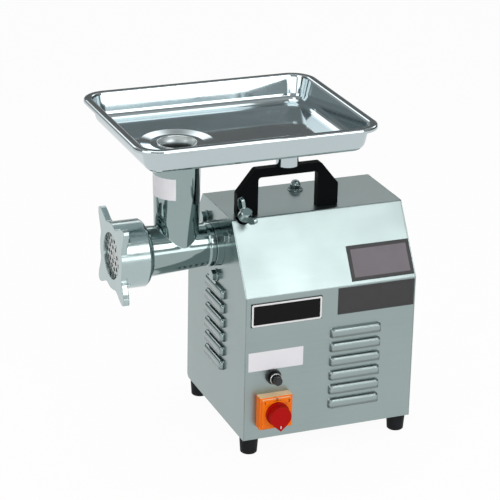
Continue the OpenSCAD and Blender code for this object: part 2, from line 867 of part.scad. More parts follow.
module switch_housing() {
  edge = 3;
  r = 2;
  w = switch_w / 2;
  color("#f5941e") difference() {
    union() {
      translate([switch_x - w, switch_face_y + edge, switch_mid_z - w])
        cube([switch_w, switch_out - edge, switch_w]);
      translate([switch_x, switch_face_y + edge, switch_mid_z]) rotate([90, 0, 0])
        linear_extrude(edge) polygon(rounded([[-w + r, -w + r], [w - r, -w + r], [w - r, w - r], [-w + r, w - r]],
                                             [3, 3, 3, 3]));
      bar_y(-half_d, -half_d + sheet_t + 0.3, 11.5, switch_x, switch_mid_z);
    }
    bar_y(switch_face_y - cut, -half_d + 4, 4 + run_gap, switch_x, switch_mid_z);
  }
}

module contact_block() {
  y0 = -half_d + sheet_t + 0.3;
  color("#33373a") difference() {
    translate([switch_x - 15, y0, switch_mid_z - 15]) cube([30, 32, 30]);
    bar_y(y0 - cut, y0 + 14.5, 4 + run_gap, switch_x, switch_mid_z);
    for (dx = [-8, 8]) {
      translate([switch_x + dx - 2, y0 + 24, switch_mid_z - 16]) cube([4, 9, 32]);
    }
  }
}

module breaker_barrel() {
  color("#202020") difference() {
    union() {
      bar_y(-half_d - 11, -half_d + 14, 7, switch_x, breaker_z);
      translate([switch_x - 11, -half_d + sheet_t, breaker_z - 8]) cube([22, 30, 16]);
    }
    bar_y(-half_d - 12, -half_d + 5, reset_r + 0.15, switch_x, breaker_z);
  }
}

module breaker_nut() {
  color("#d5d8da") difference() {
    bar_y(-half_d - 3.5, -half_d, 10, switch_x, breaker_z);
    bar_y(-half_d - 5, -half_d + cut, 7 + seat_gap, switch_x, breaker_z);
    bar_y(-half_d - 5, -half_d - 2.5, 8, switch_x, breaker_z);
  }
}

// involute gear in its own plane, one tooth centred on the X axis
function roll(a) = tan(a) * 180 / PI - a;
function tooth_half(teeth, m, slack, r) = let (
    base_r = m * teeth / 2 * cos(20),
    a = acos(min(1, base_r / r))
  ) 90 / teeth - slack + roll(20) - roll(a);

module gear_outline(teeth, m = gear_module) {
  pitch_r = m * teeth / 2;
  base_r = pitch_r * cos(20);
  tip_r = pitch_r + 0.94 * m;
  root_r = pitch_r - 1.22 * m;
  slack = 0.11 / pitch_r * 180 / PI;
  start_r = max(base_r, root_r);
  steps = 4;
  radii = [for (k = [0 : steps]) start_r + (tip_r - start_r) * k / steps];
  polygon([
    for (i = [0 : teeth - 1])
      let (mid = 360 * i / teeth)
      for (p = concat(
        [[root_r, -tooth_half(teeth, m, slack, start_r) - 1.5 / teeth]],
        [for (r = radii) [r, -tooth_half(teeth, m, slack, r)]],
        [for (k = [steps : -1 : 0]) [radii[k], tooth_half(teeth, m, slack, radii[k])]],
        [[root_r, tooth_half(teeth, m, slack, start_r) + 1.5 / teeth]]
      )) p[0] * [cos(mid + p[1]), sin(mid + p[1])]
  ]);
}

// gear along X from x0, with a tooth at angle turn above the Y axis
module gear_x(teeth, x0, t, z, turn, bore) {
  along_x(x0, x0 + t) translate([0, z]) rotate(turn) difference() {
    gear_outline(teeth);
    if (bore > 0) circle(bore);
  }
}

module rotor() {
  color("#9a9da0") {
    tube_x(core_x, core_x + stator_len, rotor_r, motor_shaft_r + seat_gap, motor_z);
    for (x = [core_x - 6, core_x + stator_len]) {
      tube_x(x, x + 6, rotor_r - 1.5, rotor_r - 10, motor_z);
    }
  }
}

module rotor_shaft() {
  color("#c4c8cb") {
    bar_x(cover_x + 1, fan_x + fan_t + 2, motor_shaft_r, motor_z);
    gear_x(pinion_teeth, counter_gear_x - 1, counter_gear_t + 2, motor_z, 90, 0);
    bar_x(counter_gear_x + counter_gear_t + 1, cover_x + 1, motor_shaft_r + 2, motor_z);
  }
}

module fan() {
  color("#2e3133") difference() {
    union() {
      bar_x(fan_x, fan_x + 2, fan_r, motor_z);
      bar_x(fan_x, fan_x + fan_t, motor_shaft_r + 5, motor_z);
      for (a = [0 : 45 : 315]) {
        translate([fan_x + 1, 0, motor_z]) rotate([a, 0, 0]) translate([0, -1, motor_shaft_r + 4])
          cube([fan_t - 2, 2, fan_r - motor_shaft_r - 5]);
      }
    }
    bar_x(fan_x - cut, fan_x + fan_t + cut, motor_shaft_r + seat_gap, motor_z);
  }
}

module counter_shaft() {
  color("#c4c8cb") bar_x(wall_x + 2.5, cover_x + cover_t - 2.5, counter_shaft_r, counter_z);
}

module counter_gear() {
  color("#a9a294") difference() {
    gear_x(counter_teeth, counter_gear_x, counter_gear_t, counter_z, -90 + 180 / counter_teeth,
           counter_shaft_r + seat_gap);
    for (a = [0 : 60 : 300]) {
      bar_x(counter_gear_x - cut, counter_gear_x + counter_gear_t + cut, 8, counter_z + 27 * sin(a + 30),
            27 * cos(a + 30));
    }
  }
}

module counter_pinion() {
  color("#b9bdc0") gear_x(pinion_teeth, output_gear_x - 1, output_gear_t + 2.5, counter_z, 90,
                          counter_shaft_r + seat_gap);
}

module output_shaft() {
  color("#c4c8cb") difference() {
    union() {
      bar_x(wall_x, output_gear_x, output_neck_r, head_z);
      bar_x(output_gear_x, output_gear_x + output_gear_t, output_shaft_r + 2, head_z);
      bar_x(output_gear_x + output_gear_t, cover_x + cover_t + 2, output_shaft_r, head_z);
    }
    translate([wall_x - cut, -tongue_w / 2 - move_gap, head_z - tongue_w / 2 - move_gap])
      cube([16 + cut, tongue_w + 2 * move_gap, tongue_w + 2 * move_gap]);
  }
}

module output_gear() {
  color("#a9a294") difference() {
    gear_x(output_teeth, output_gear_x, output_gear_t, head_z, -90 + 180 / output_teeth,
           output_shaft_r + 2 + seat_gap);
    for (x = [output_gear_x - cut, output_gear_x + output_gear_t - 4]) {
      tube_x(x, x + 4 + cut, 34, output_shaft_r + 8, head_z);
    }
  }
}

function bore_r_at(x) = bore_r_front
  + (bore_r_rear - bore_r_front) * (x - chamber_x) / (bore_end_x - chamber_x);

throat_taper_h = throat_h * 0.7;

module head_casting() {
  color("#c9d2d0") difference() {
    union() {
      turned([[0, mouth_x], [thread_r - 1, mouth_x], [thread_r, mouth_x + 1], [thread_r, thread_rear_x],
              [thread_r - 2.5, thread_rear_x + 3], [tube_r_front + 1.5, thread_rear_x + 4],
              [tube_r_front, thread_rear_x + 6.5], [tube_r_rear, shoulder_x - 9], [snout_r, shoulder_x - 7],
              [snout_r, shoulder_x - 1], [snout_r - 1, shoulder_x], [spigot_r, shoulder_x],
              [spigot_r, spigot_end_x - 1.5], [spigot_r - 1.5, spigot_end_x], [0, spigot_end_x]]);
      translate([throat_x, 0, head_z]) cylinder(r1 = throat_foot_r, r2 = throat_r, h = throat_taper_h);
      translate([throat_x, 0, head_z + throat_taper_h]) cylinder(r = throat_r, h = throat_h - throat_taper_h);
    }
    turned([[0, mouth_x - cut], [mouth_r, mouth_x - cut], [mouth_r, chamber_x], [bore_r_front, chamber_x],
            [bore_r_rear, bore_end_x], [journal_r + run_gap, bore_end_x],
            [journal_r + run_gap, spigot_end_x + cut], [0, spigot_end_x + cut]]);
    translate([throat_x, 0, head_z]) cylinder(r = throat_bore_r, h = throat_h + cut);
  }
}

auger_clear = 0.8;
auger_len = auger_rear_x - auger_front_x;
auger_r = bore_r_at(auger_rear_x) - auger_clear;
auger_scale = (bore_r_at(auger_front_x) - auger_clear) / auger_r;

// cross-section of the screw: a core with one flight that fades into it
module auger_section() {
  flight_half = 42;
  core = auger_core_r;
  polygon([for (i = [0 : 29])
    let (
      a = -180 + 12 * i,
      t = abs(a) / flight_half,
      s = t >= 1.5 ? 0 : t <= 0.55 ? 1 : 0.5 + 0.5 * cos(180 * (t - 0.55) / 0.95)
    ) (core + (auger_r - core) * s) * [cos(a), sin(a)]
  ]);
}

module auger() {
  color("#b7bdbb") translate([auger_rear_x, 0, head_z]) rotate([0, -90, 0])
    linear_extrude(auger_len, twist = 360 * auger_len / auger_pitch, scale = auger_scale, slices = 36)
      auger_section();
}

module auger_shank() {
  color("#b7bdbb") {
    bar_x(auger_rear_x, spigot_end_x, journal_r, head_z);
    translate([spigot_end_x, -tongue_w / 2, head_z - tongue_w / 2]) cube([15, tongue_w, tongue_w]);
    translate([knife_x, -knife_square / 2, head_z - knife_square / 2])
      cube([auger_front_x - knife_x, knife_square, knife_square]);
    bar_x(plate_x + 0.5, knife_x, plate_pin_r, head_z);
  }
}

module knife() {
  hub_r = 13;
  square_r = knife_square / 2 + seat_gap;
  color("#d3d8d8") difference() {
    union() {
      bar_x(knife_x, knife_rear_x, hub_r, head_z);
      for (a = [0 : 90 : 270]) {
        along_x(knife_x, knife_rear_x) translate([0, head_z]) rotate(a)
          polygon([[0, -6], [knife_r - 1, -5.5], [knife_r, -4.5], [knife_r - 3, 3.5], [0, 8]]);
      }
    }
    translate([knife_x - cut, -square_r, head_z - square_r])
      cube([knife_t + 2 * cut, 2 * square_r, 2 * square_r]);
  }
}

// rings of holes: [circle radius, number of holes]
hole_rings = [[10.5, 6], [18.5, 12], [26.5, 18]];

module perforated_plate() {
  color("#aab2b1") difference() {
    bar_x(plate_x, plate_rear_x, plate_r, head_z);
    bar_x(plate_x - cut, plate_rear_x + cut, plate_pin_r + run_gap, head_z);
    for (ring = hole_rings, i = [0 : 17]) {
      if (i < ring[1]) {
        bar_x(plate_x - cut, plate_rear_x + cut, plate_hole_r, head_z + ring[0] * sin(360 * i / ring[1]),
              ring[0] * cos(360 * i / ring[1]));
      }
    }
  }
}

lug_sharpness = 10;

// radius of the star at an angle from the middle of a lug
function lug_r(a) = lug_valley_r + (lug_tip_r - lug_valley_r) * pow(cos(2 * a), lug_sharpness);

module ring_nut() {
  lug_rib_t = 8;
  lug_rib_h = 6;
  lug_rib_len = 9;
  ring_back_x = ring_front_x + ring_front_t;
  star = [for (q = [0 : 3], i = [0 : 29])
    let (a = -45 + 3 * i, place = 90 * q + 45 + a)
    lug_r(a) * [cos(place), sin(place)]
  ];
  color("#c2cccb") difference() {
    union() {
      along_x(ring_front_x, ring_front_x + ring_front_t) translate([0, head_z]) polygon(star);
      turned([[0, ring_front_x], [ring_skirt_r, ring_front_x], [ring_skirt_r, ring_rear_x - 3],
              [ring_skirt_r - 2, ring_rear_x], [0, ring_rear_x]]);
      for (q = [0 : 3]) {
        translate([0, 0, head_z]) rotate([45 + 90 * q, 0, 0]) rotate([90, 0, 0])
          linear_extrude(lug_rib_t, center = true)
            polygon([[ring_back_x, ring_skirt_r + lug_rib_h], [ring_back_x, ring_skirt_r - 1],
                     [ring_back_x + lug_rib_len, ring_skirt_r - 1],
                     [ring_back_x + lug_rib_h / 2, ring_skirt_r + lug_rib_h / 2]]);
      }
    }
    bar_x(ring_front_x - cut, lip_x + cut, ring_open_r, head_z);
    bar_x(lip_x, ring_rear_x + cut, thread_r + move_gap, head_z);
  }
}

clamp_tip = spigot_r + 0.1 + move_gap;
pad_t = 5;

module clamp_pad() {
  color("#c9a54a") on_clamp_axis() translate([0, 0, clamp_tip]) cylinder(r = clamp_r - 0.4, h = pad_t);
}

module clamp_screw() {
  hub_base = 75;
  hub_top = 88;
  wing_turn = 18;
  color("#cdd3d3") on_clamp_axis() {
    translate([0, 0, clamp_tip + pad_t + move_gap])
      cylinder(r = clamp_r, h = hub_base - clamp_tip - pad_t);
    rotate_extrude() polygon([[0, hub_base], [8.5, hub_base], [8.5, hub_base + 4], [7.4, hub_top - 1.5],
                              [6, hub_top], [0, hub_top]]);
    for (s = [0, 1]) {
      rotate([0, 0, wing_turn]) mirror([0, s, 0]) rotate([0, -90, 0]) linear_extrude(4.6, center = true)
        polygon(rounded([[hub_top - 2, 4.5], [hub_base + 21, 13], [hub_base + 20, 21.5], [hub_base + 5, 14.5],
                         [hub_base + 2, 5.5]], [0.5, 4, 4, 3, 0.5]));
    }
  }
}

// section of the pan's wall as [distance from the corner's centre, height above the underside]
pan_lean = atan(pan_draft / pan_depth);
pan_bottom_r = (pan_corner_r - rim_w) * 0.6;
pan_flat = 1;
pan_wall = let (
    r = pan_corner_r,
    well = r - rim_w,
    t = pan_t,
    d = pan_depth,
    br = pan_bottom_r,
    arc_top = pan_dish + br * (1 - sin(pan_lean)),
    cx = well - tan(pan_lean) * (d - t - 1 - arc_top) - br * cos(pan_lean)
  ) concat(
    [[cx - pan_flat, pan_dish]],
    [for (i = [0 : 6]) let (a = -90 + (90 - pan_lean) * i / 6)
      [cx + br * cos(a), pan_dish + br + br * sin(a)]],
    [[well, d - t - 1], [well + 2, d - t], [r - 2.5, d - t], [r - t - 0.4, d - t - 1.6],
     [r - t, d - lip_h], [r, d - lip_h], [r, d - 2.2], [r - 0.9, d - 0.6], [r - 2.5, d], [well + 1, d],
     [well - 0.6, d - 0.5], [well - t - 0.4, d - t - 1.4]],
    [for (i = [6 : -1 : 0]) let (a = -90 + (90 - pan_lean) * i / 6)
      [cx + (br - t) * cos(a), pan_dish + br + (br - t) * sin(a)]],
    [[cx - pan_flat, pan_dish + t]]
  );
dish_in_r = throat_r + 4;
dish_out_r = dish_in_r + 13;

module pan() {
  long = pan_len / 2 - pan_corner_r;
  wide = pan_w / 2 - pan_corner_r;
  floor_r = pan_wall[0][0] + pan_flat / 2;
  hole_x = throat_x - pan_x;
  color("#dfe4e2") translate([pan_x, 0, pan_z]) difference() {
    union() {
      for (q = [[1, 1, 0], [-1, 1, 90], [-1, -1, 180], [1, -1, 270]]) {
        translate([q[0] * long, q[1] * wide, 0]) rotate([0, 0, q[2]]) rotate_extrude(angle = 90)
          polygon(concat([[0, pan_dish]], pan_wall, [[0, pan_dish + pan_t]]));
      }
      for (s = [0, 180]) {
        rotate([0, 0, s]) translate([long, wide, 0]) rotate([90, 0, 0]) linear_extrude(2 * wide)
          polygon(pan_wall);
        rotate([0, 0, s + 90]) translate([wide, long, 0]) rotate([90, 0, 0]) linear_extrude(2 * long)
          polygon(pan_wall);
      }
      difference() {
        union() {
          translate([-long - floor_r, -wide, pan_dish]) cube([2 * (long + floor_r), 2 * wide, pan_t]);
          translate([-long, -wide - floor_r, pan_dish]) cube([2 * long, 2 * (wide + floor_r), pan_t]);
        }
        translate([hole_x, 0, -cut]) cylinder(r = dish_out_r + 1, h = pan_dish + pan_t + 2 * cut);
      }
      translate([hole_x, 0, 0]) rotate_extrude()
        polygon([[0, 0], [dish_in_r, 0], [dish_out_r, pan_dish], [dish_out_r + 2, pan_dish],
                 [dish_out_r + 2, pan_dish + pan_t], [dish_out_r - 0.3, pan_dish + pan_t], [dish_in_r - 0.3, pan_t],
                 [0, pan_t]]);
      translate([hole_x, 0, -collar_len]) cylinder(r = collar_r, h = collar_len + pan_t);
    }
    translate([hole_x, 0, -collar_len - cut])
      cylinder(r = collar_bore_r, h = collar_len + pan_t + 2 * cut);
  }
}

module pan_leg() {
  leg_x = handle_mid_x;
  leg_y = handle_y + handle_t / 2;
  foot_z = handle_z + move_gap;
  color("#d7dcda") translate([leg_x, leg_y, foot_z]) difference() {
    cylinder(r = leg_r, h = pan_z + pan_dish - foot_z);
    translate([0, 0, -cut]) cylinder(r = leg_r - 1.5, h = pan_z + pan_dish - foot_z - 1);
  }
}

module switch_knob() {
  y0 = switch_face_y - move_gap;
  tip = knob_r + 4;
  color("#c81414") translate([switch_x, y0, switch_mid_z]) rotate([90, 0, 0]) {
    cylinder(r = knob_r, h = 4);
    linear_extrude(knob_out) {
      circle(knob_r - 1.5);
      polygon([[-knob_r * 0.62, -knob_r * 0.7], [0, -tip], [knob_r * 0.62, -knob_r * 0.7]]);
    }
    translate([0, 0, -switch_out - 12]) cylinder(r = 4, h = switch_out + 12);
  }
}

module reset_button() {
  color("#0d0d0d") {
    bar_y(-half_d - 18.5, -half_d + 5 - reset_travel - 0.5, reset_r, switch_x, breaker_z);
    bar_y(-half_d - 19.5, -half_d - 18.5, reset_r - 1, switch_x, breaker_z);
  }
}

case_wrap();
side_panel_left();
side_panel_right();
base_plate();
feet();
foot_screws();
handle();
handle_screws();
top_bolt();
badge_plate();
front_plate();
slope_plate();
gearbox_housing();
gearbox_cover();
cover_screws();
flange_bolts();
shaft_seal();
output_bearings();
counter_bearings();
motor_bearings();
motor_shell();
front_bell();
rear_bell();
stator_core();
stator_windings();
tie_bolts();
motor_cradle();
capacitor();
capacitor_clip();
terminal_block();
cord_gland();
switch_housing();
contact_block();
breaker_barrel();
breaker_nut();
rotor();
rotor_shaft();
fan();
counter_shaft();
counter_gear();
counter_pinion();
output_shaft();
output_gear();
head_casting();
auger();
auger_shank();
knife();
perforated_plate();
ring_nut();
clamp_pad();
clamp_screw();
pan();
pan_leg();
switch_knob();
reset_button();
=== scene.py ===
import json
import math

import bmesh
import bpy
from mathutils import Matrix, Vector


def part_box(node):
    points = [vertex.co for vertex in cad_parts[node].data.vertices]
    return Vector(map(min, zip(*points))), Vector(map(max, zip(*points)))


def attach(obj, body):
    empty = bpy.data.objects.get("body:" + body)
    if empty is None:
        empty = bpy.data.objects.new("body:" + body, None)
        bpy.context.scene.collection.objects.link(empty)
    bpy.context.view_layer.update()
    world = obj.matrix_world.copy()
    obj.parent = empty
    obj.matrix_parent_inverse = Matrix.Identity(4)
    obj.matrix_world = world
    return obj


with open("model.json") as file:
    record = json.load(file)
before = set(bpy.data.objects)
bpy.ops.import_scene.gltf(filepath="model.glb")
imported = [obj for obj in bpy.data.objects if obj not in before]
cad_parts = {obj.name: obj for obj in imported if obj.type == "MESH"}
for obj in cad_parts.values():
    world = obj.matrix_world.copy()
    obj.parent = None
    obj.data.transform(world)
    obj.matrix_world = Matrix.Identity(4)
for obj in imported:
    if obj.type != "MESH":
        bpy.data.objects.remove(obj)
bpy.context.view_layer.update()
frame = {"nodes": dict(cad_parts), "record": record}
nodes = frame["nodes"]
mounts = {mount["name"]: Vector(mount["pos_m"]) for mount in frame["record"]["mounts"]}
scene = bpy.context.scene

MM = 0.001


# ---------------------------------------------------------------- node helpers
def bare_tree(owner, output):
    """The emptied node tree of a material or a world, and the socket of its output node."""
    owner.use_nodes = True
    tree = owner.node_tree
    tree.nodes.clear()
    return tree, tree.nodes.new(output).inputs[0]


def node(tree, kind, **inputs):
    """A new node; an underscore in an input's name stands for a space."""
    made = tree.nodes.new(kind)
    for key, value in inputs.items():
        made.inputs[key.replace("_", " ")].default_value = value
    return made


def maths(tree, operation, first, second=None):
    """A Math node; each operand is a number or a socket."""
    made = tree.nodes.new("ShaderNodeMath")
    made.operation = operation
    for socket, value in zip(made.inputs, (first, second)):
        if isinstance(value, (int, float)):
            socket.default_value = value
        elif value is not None:
            tree.links.new(value, socket)
    return made.outputs[0]


def noise(tree, coords, scale, detail, stretch=(1, 1, 1)):
    mapping = node(tree, "ShaderNodeMapping", Scale=stretch)
    tree.links.new(coords, mapping.inputs["Vector"])
    made = node(tree, "ShaderNodeTexNoise", Scale=scale, Detail=detail, Roughness=0.55)
    tree.links.new(mapping.outputs[0], made.inputs["Vector"])
    return made.outputs["Fac"]


def ranged(tree, value, start, stop, low, high, kind="LINEAR"):
    """low where value is start or less, high where it is stop or more."""
    made = node(tree, "ShaderNodeMapRange", From_Min=start, From_Max=stop, To_Min=low, To_Max=high)
    made.interpolation_type = kind
    tree.links.new(value, made.inputs["Value"])
    return made.outputs["Result"]


def spread(tree, value, low, high):
    """Noise, which lies mostly between 0.3 and 0.7, stretched to low and high."""
    return ranged(tree, value, 0.3, 0.7, low, high)


def soft_step(tree, value, start, stop):
    """0 at start and 1 at stop, with no kink."""
    return ranged(tree, value, start, stop, 0.0, 1.0, "SMOOTHSTEP")


def blend_colours(tree, factor, first, second):
    """first where factor is 0 and second where it is 1; each is a colour or a socket."""
    made = tree.nodes.new("ShaderNodeMix")
    made.data_type = "RGBA"
    tree.links.new(factor, made.inputs["Factor"])
    for socket, colour in ((made.inputs["A"], first), (made.inputs["B"], second)):
        if isinstance(colour, (tuple, list)):
            socket.default_value = (*colour, 1)
        else:
            tree.links.new(colour, socket)
    return made.outputs["Result"]


def mix_shaders(tree, share, first, second, output):
    """first where share is 0 and second where it is 1, sent to the output."""
    mix = tree.nodes.new("ShaderNodeMixShader")
    for source, socket in zip((share, first.outputs[0], second.outputs[0]), mix.inputs):
        tree.links.new(source, socket)
    tree.links.new(mix.outputs[0], output)


# ---------------------------------------------------------------- materials
def shade(colour, factor):
    return [min(1, c * factor) for c in colour]


def uneven_tone(tree, coords, fine, colour, vary, grain, smudge, speckle):
    """The colour, varied in broad patches and along the grain, with dark specks where speckle isn't 0."""
    broad = noise(tree, coords, smudge, 4)
    tone = blend_colours(tree, spread(tree, broad, 0, 1), shade(colour, 1 - vary), shade(colour, 1 + vary))
    tone = blend_colours(tree, spread(tree, fine, 0, 0.35), tone, shade(colour, 1 + 2 * vary))
    if speckle:
        spots = ranged(tree, noise(tree, coords, grain * 0.35, 2), 0.62, 0.75, 0, speckle)
        tone = blend_colours(tree, spots, tone, shade(colour, 0.55))
    return tone


def worn_edges(tree, coords, tone, soft_normal, wear, wear_colour):
    """Another colour where the soft edge bends the normal, broken up by noise."""
    bend = tree.nodes.new("ShaderNodeVectorMath")
    bend.operation = "DOT_PRODUCT"
    tree.links.new(soft_normal, bend.inputs[0])
    tree.links.new(node(tree, "ShaderNodeNewGeometry").outputs["Normal"], bend.inputs[1])
    rubbed = ranged(tree, bend.outputs["Value"], 0.75, 0.98, wear, 0)
    patchy = spread(tree, noise(tree, coords, 90, 4), 0.1, 1)
    return blend_colours(tree, maths(tree, "MULTIPLY", rubbed, patchy), tone, wear_colour)


def painted_top_highlight(tree, tone, top_highlight_colour):
    """A painted highlight: the given pale colour on what faces up, where the light from above falls."""
    facing = tree.nodes.new("ShaderNodeSeparateXYZ")
    tree.links.new(node(tree, "ShaderNodeNewGeometry").outputs["Normal"], facing.inputs[0])
    return blend_colours(tree, ranged(tree, facing.outputs["Z"], 0.3, 0.9, 0, 0.85), tone, top_highlight_colour)


def surface(name, colour, rough, metal=0, vary=0.05, rough_vary=0.05, grain=300, stretch=(1, 1, 1), bump=0.1,
            depth=0.1, smudge=40, edge=0, wear=0, wear_colour=None, speckle=0, specular=0.5, top_highlight_colour=None):
    """Colour, roughness and relief from noise; depth and edge, the radius of the soft edge, are in mm."""
    material = bpy.data.materials.new(name)
    tree, output = bare_tree(material, "ShaderNodeOutputMaterial")
    shader = node(tree, "ShaderNodeBsdfPrincipled", Metallic=metal, Specular_IOR_Level=specular)
    tree.links.new(shader.outputs[0], output)
    coords = node(tree, "ShaderNodeTexCoord").outputs["Object"]
    fine = noise(tree, coords, grain, 4, stretch)

    tone = uneven_tone(tree, coords, fine, colour, vary, grain, smudge, speckle)
    relief = node(tree, "ShaderNodeBump", Strength=bump, Distance=depth * MM)
    tree.links.new(fine, relief.inputs["Height"])
    if edge:
        bevel = node(tree, "ShaderNodeBevel", Radius=edge * MM)
        bevel.samples = 6
        tree.links.new(bevel.outputs[0], relief.inputs["Normal"])
        if wear:
            tone = worn_edges(tree, coords, tone, bevel.outputs[0], wear, wear_colour)
    # painted highlight: a paler colour on the faces that point up, where the top light falls
    if top_highlight_colour:
        tone = painted_top_highlight(tree, tone, top_highlight_colour)
    tree.links.new(tone, shader.inputs["Base Color"])
    tree.links.new(relief.outputs[0], shader.inputs["Normal"])

    patches = spread(tree, noise(tree, coords, smudge * 1.7, 5), rough - rough_vary, rough + rough_vary)
    streaks = spread(tree, fine, -0.4 * rough_vary, 0.4 * rough_vary)
    tree.links.new(maths(tree, "ADD", patches, streaks), shader.inputs["Roughness"])
    return material


BARE_EDGE = (0.55, 0.62, 0.61)
SURFACES = {
    # brushed sheet
    "case_steel": dict(colour=(0.303, 0.368, 0.364), metal=1, rough=0.33, vary=0.035, rough_vary=0.03,
                       grain=260, stretch=(0.02, 1, 1), bump=0.07, depth=0.04, smudge=9, edge=0.8, wear=0.25,
                       wear_colour=BARE_EDGE),
    "side_steel": dict(colour=(0.262, 0.328, 0.324), metal=1, rough=0.20, vary=0.03, rough_vary=0.03,
                       grain=260, stretch=(1, 0.02, 1), depth=0.03, bump=0.05, smudge=9, edge=0.8, wear=0.25,
                       wear_colour=BARE_EDGE),
    # polished castings and pressings
    "head_metal": dict(colour=(0.29, 0.365, 0.362), metal=1, rough=0.085, vary=0.03, rough_vary=0.03,
                       grain=110, bump=0.08, depth=0.2, smudge=22, edge=1.4),
    "ring_metal": dict(colour=(0.40, 0.485, 0.487), metal=1, rough=0.19, vary=0.04, rough_vary=0.04,
                       grain=160, bump=0.08, depth=0.2, smudge=26, edge=1.8, speckle=0.05),
    "pan_steel": dict(colour=(0.48, 0.55, 0.57), metal=1, rough=0.065, vary=0.02, rough_vary=0.02,
                      grain=60, bump=0.03, depth=0.3, smudge=12, edge=0.6),
    # small parts and tools
    "screw_steel": dict(colour=(0.62, 0.65, 0.64), metal=1, rough=0.18, smudge=60, edge=0.5),
    "satin_steel": dict(colour=(0.60, 0.66, 0.66), metal=1, rough=0.42, rough_vary=0.06, stretch=(1, 1, 0.05),
                        bump=0.15, smudge=50),
    "tool_steel": dict(colour=(0.52, 0.55, 0.54), metal=1, rough=0.37, vary=0.06, rough_vary=0.06, grain=500,
                       stretch=(0.1, 1, 1), bump=0.2, smudge=50, edge=0.5),
    "brass_pad": dict(colour=(0.60, 0.40, 0.13), metal=1, rough=0.28, vary=0.06, grain=400, smudge=60),
    # drive
    "machined_steel": dict(colour=(0.56, 0.58, 0.58), metal=1, rough=0.25, grain=500, stretch=(0.1, 1, 1),
                           bump=0.15, smudge=50),
    "gear_steel": dict(colour=(0.40, 0.385, 0.35), metal=1, rough=0.34, vary=0.08, rough_vary=0.06,
                       bump=0.15, smudge=60),
    "cast_alloy": dict(colour=(0.50, 0.51, 0.52), metal=1, rough=0.46, vary=0.06, rough_vary=0.06, grain=320,
                       bump=0.5, depth=0.3, speckle=0.3),
    "motor_paint": dict(colour=(0.095, 0.11, 0.12), rough=0.42, vary=0.08, rough_vary=0.06, grain=420,
                        bump=0.25, depth=0.2, smudge=30),
    "copper_wire": dict(colour=(0.55, 0.20, 0.06), metal=0.9, rough=0.30, vary=0.15, rough_vary=0.06,
                        grain=700, stretch=(1, 0.15, 1), bump=0.6, depth=0.4, smudge=80),
    "capacitor_can": dict(colour=(0.66, 0.67, 0.68), metal=1, rough=0.24, vary=0.04, stretch=(0.1, 1, 1)),
    # paint, rubber and plastic
    "handle_black": dict(colour=(0.0020, 0.0028, 0.0032), rough=0.40, vary=0.25, grain=160, bump=0.12,
                         depth=0.2, smudge=25, edge=1.2, wear=0.2, wear_colour=(0.03, 0.035, 0.035),
                         specular=0.03),
    "foot_rubber": dict(colour=(0.007, 0.008, 0.009), rough=0.62, vary=0.2, rough_vary=0.08, grain=500,
                        bump=0.35, depth=0.2, smudge=60, edge=0.8, specular=0.15),
    "badge_black": dict(colour=(0.0025, 0.0025, 0.003), rough=0.50, vary=0.2, grain=500, smudge=60, edge=0.4,
                        specular=0.12),
    "plate_grey": dict(colour=(0.030, 0.030, 0.032), metal=0.2, rough=0.48, vary=0.06, grain=400,
                       stretch=(0.05, 1, 1), edge=0.3),
    # the orange switch box; its upward faces get a painted highlight in a pale colour, where the light from
    # above falls
    "switch_orange": dict(colour=(0.92, 0.185, 0.002), rough=0.40, bump=0.12, edge=1.2, wear=0.3,
                          wear_colour=(1.0, 0.62, 0.30), specular=0.20, top_highlight_colour=(1.0, 0.78, 0.48)),
    "knob_red": dict(colour=(0.38, 0.0012, 0.0008), rough=0.36, vary=0.1, edge=0.9, wear=0.3,
                     wear_colour=(0.75, 0.06, 0.05), specular=0.12),
    "black_plastic": dict(colour=(0.010, 0.011, 0.012), rough=0.36, vary=0.2, rough_vary=0.06, grain=400,
                          bump=0.15, edge=0.6),
    "cream_plastic": dict(colour=(0.66, 0.60, 0.47), rough=0.42),
    # labels and print
    "white_label": dict(colour=(0.74, 0.73, 0.76), rough=0.45, vary=0.02, grain=900, bump=0.08, depth=0.05,
                        smudge=60),
    "white_paint": dict(colour=(0.72, 0.72, 0.72), rough=0.40, vary=0.02, grain=900, bump=0.08, depth=0.05,
                        smudge=60),
    "dark_print": dict(colour=(0.020, 0.018, 0.020), rough=0.40, vary=0.1, grain=900, bump=0.08, depth=0.05,
                       smudge=60),
    "slope_print": dict(colour=(0.150, 0.135, 0.150), rough=0.55, grain=500, stretch=(0.05, 1, 1),
                        depth=0.05),
}
MATERIALS = {name: surface(name, **values) for name, values in SURFACES.items()}

# nodes whose look differs from the record's material slot
OTHER_FINISH = {
    "ring_nut": "ring_metal",
    "gearbox_housing": "head_metal",
    "breaker_nut": "black_plastic",
    "clamp_screw": "head_metal",
    "flange_bolts": "head_metal",
    "top_bolt": "head_metal",
}
for part in frame["record"]["subparts"]:
    finish = OTHER_FINISH.get(part["node"], part["material_slot"])
    for material_slot in nodes[part["node"]].material_slots:
        material_slot.material = MATERIALS[finish]


# ---------------------------------------------------------------- mesh helpers
def add_piece(name, bm, material, body, bevel=0.0, smooth=False):
    """A new object from bm, riding on body; bevel is the width of its soft edges."""
    mesh = bpy.data.meshes.new(name)
    bmesh.ops.recalc_face_normals(bm, faces=bm.faces)
    bm.to_mesh(mesh)
    bm.free()
    for face in mesh.polygons:
        face.use_smooth = smooth
    made = bpy.data.objects.new(name, mesh)
    scene.collection.objects.link(made)
    mesh.materials.append(MATERIALS[material])
    if bevel:
        soft = made.modifiers.new("soft_edge", "BEVEL")
        soft.width = bevel
        soft.segments = 2
        soft.limit_method = "ANGLE"
        soft.angle_limit = math.radians(40)
    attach(made, body)
    return made


def stitch(bm, rows, round_rows=False, round_points=True):
    """Quads from each row of points to the next, also from the last to the first where they go round."""
    following = rows[1:] + rows[:1] if round_rows else rows[1:]
    n = len(rows[0])
    for low, high in zip(rows, following):
        for k in range(n if round_points else n - 1):
            m = (k + 1) % n
            bm.faces.new((low[k], low[m], high[m], high[k]))


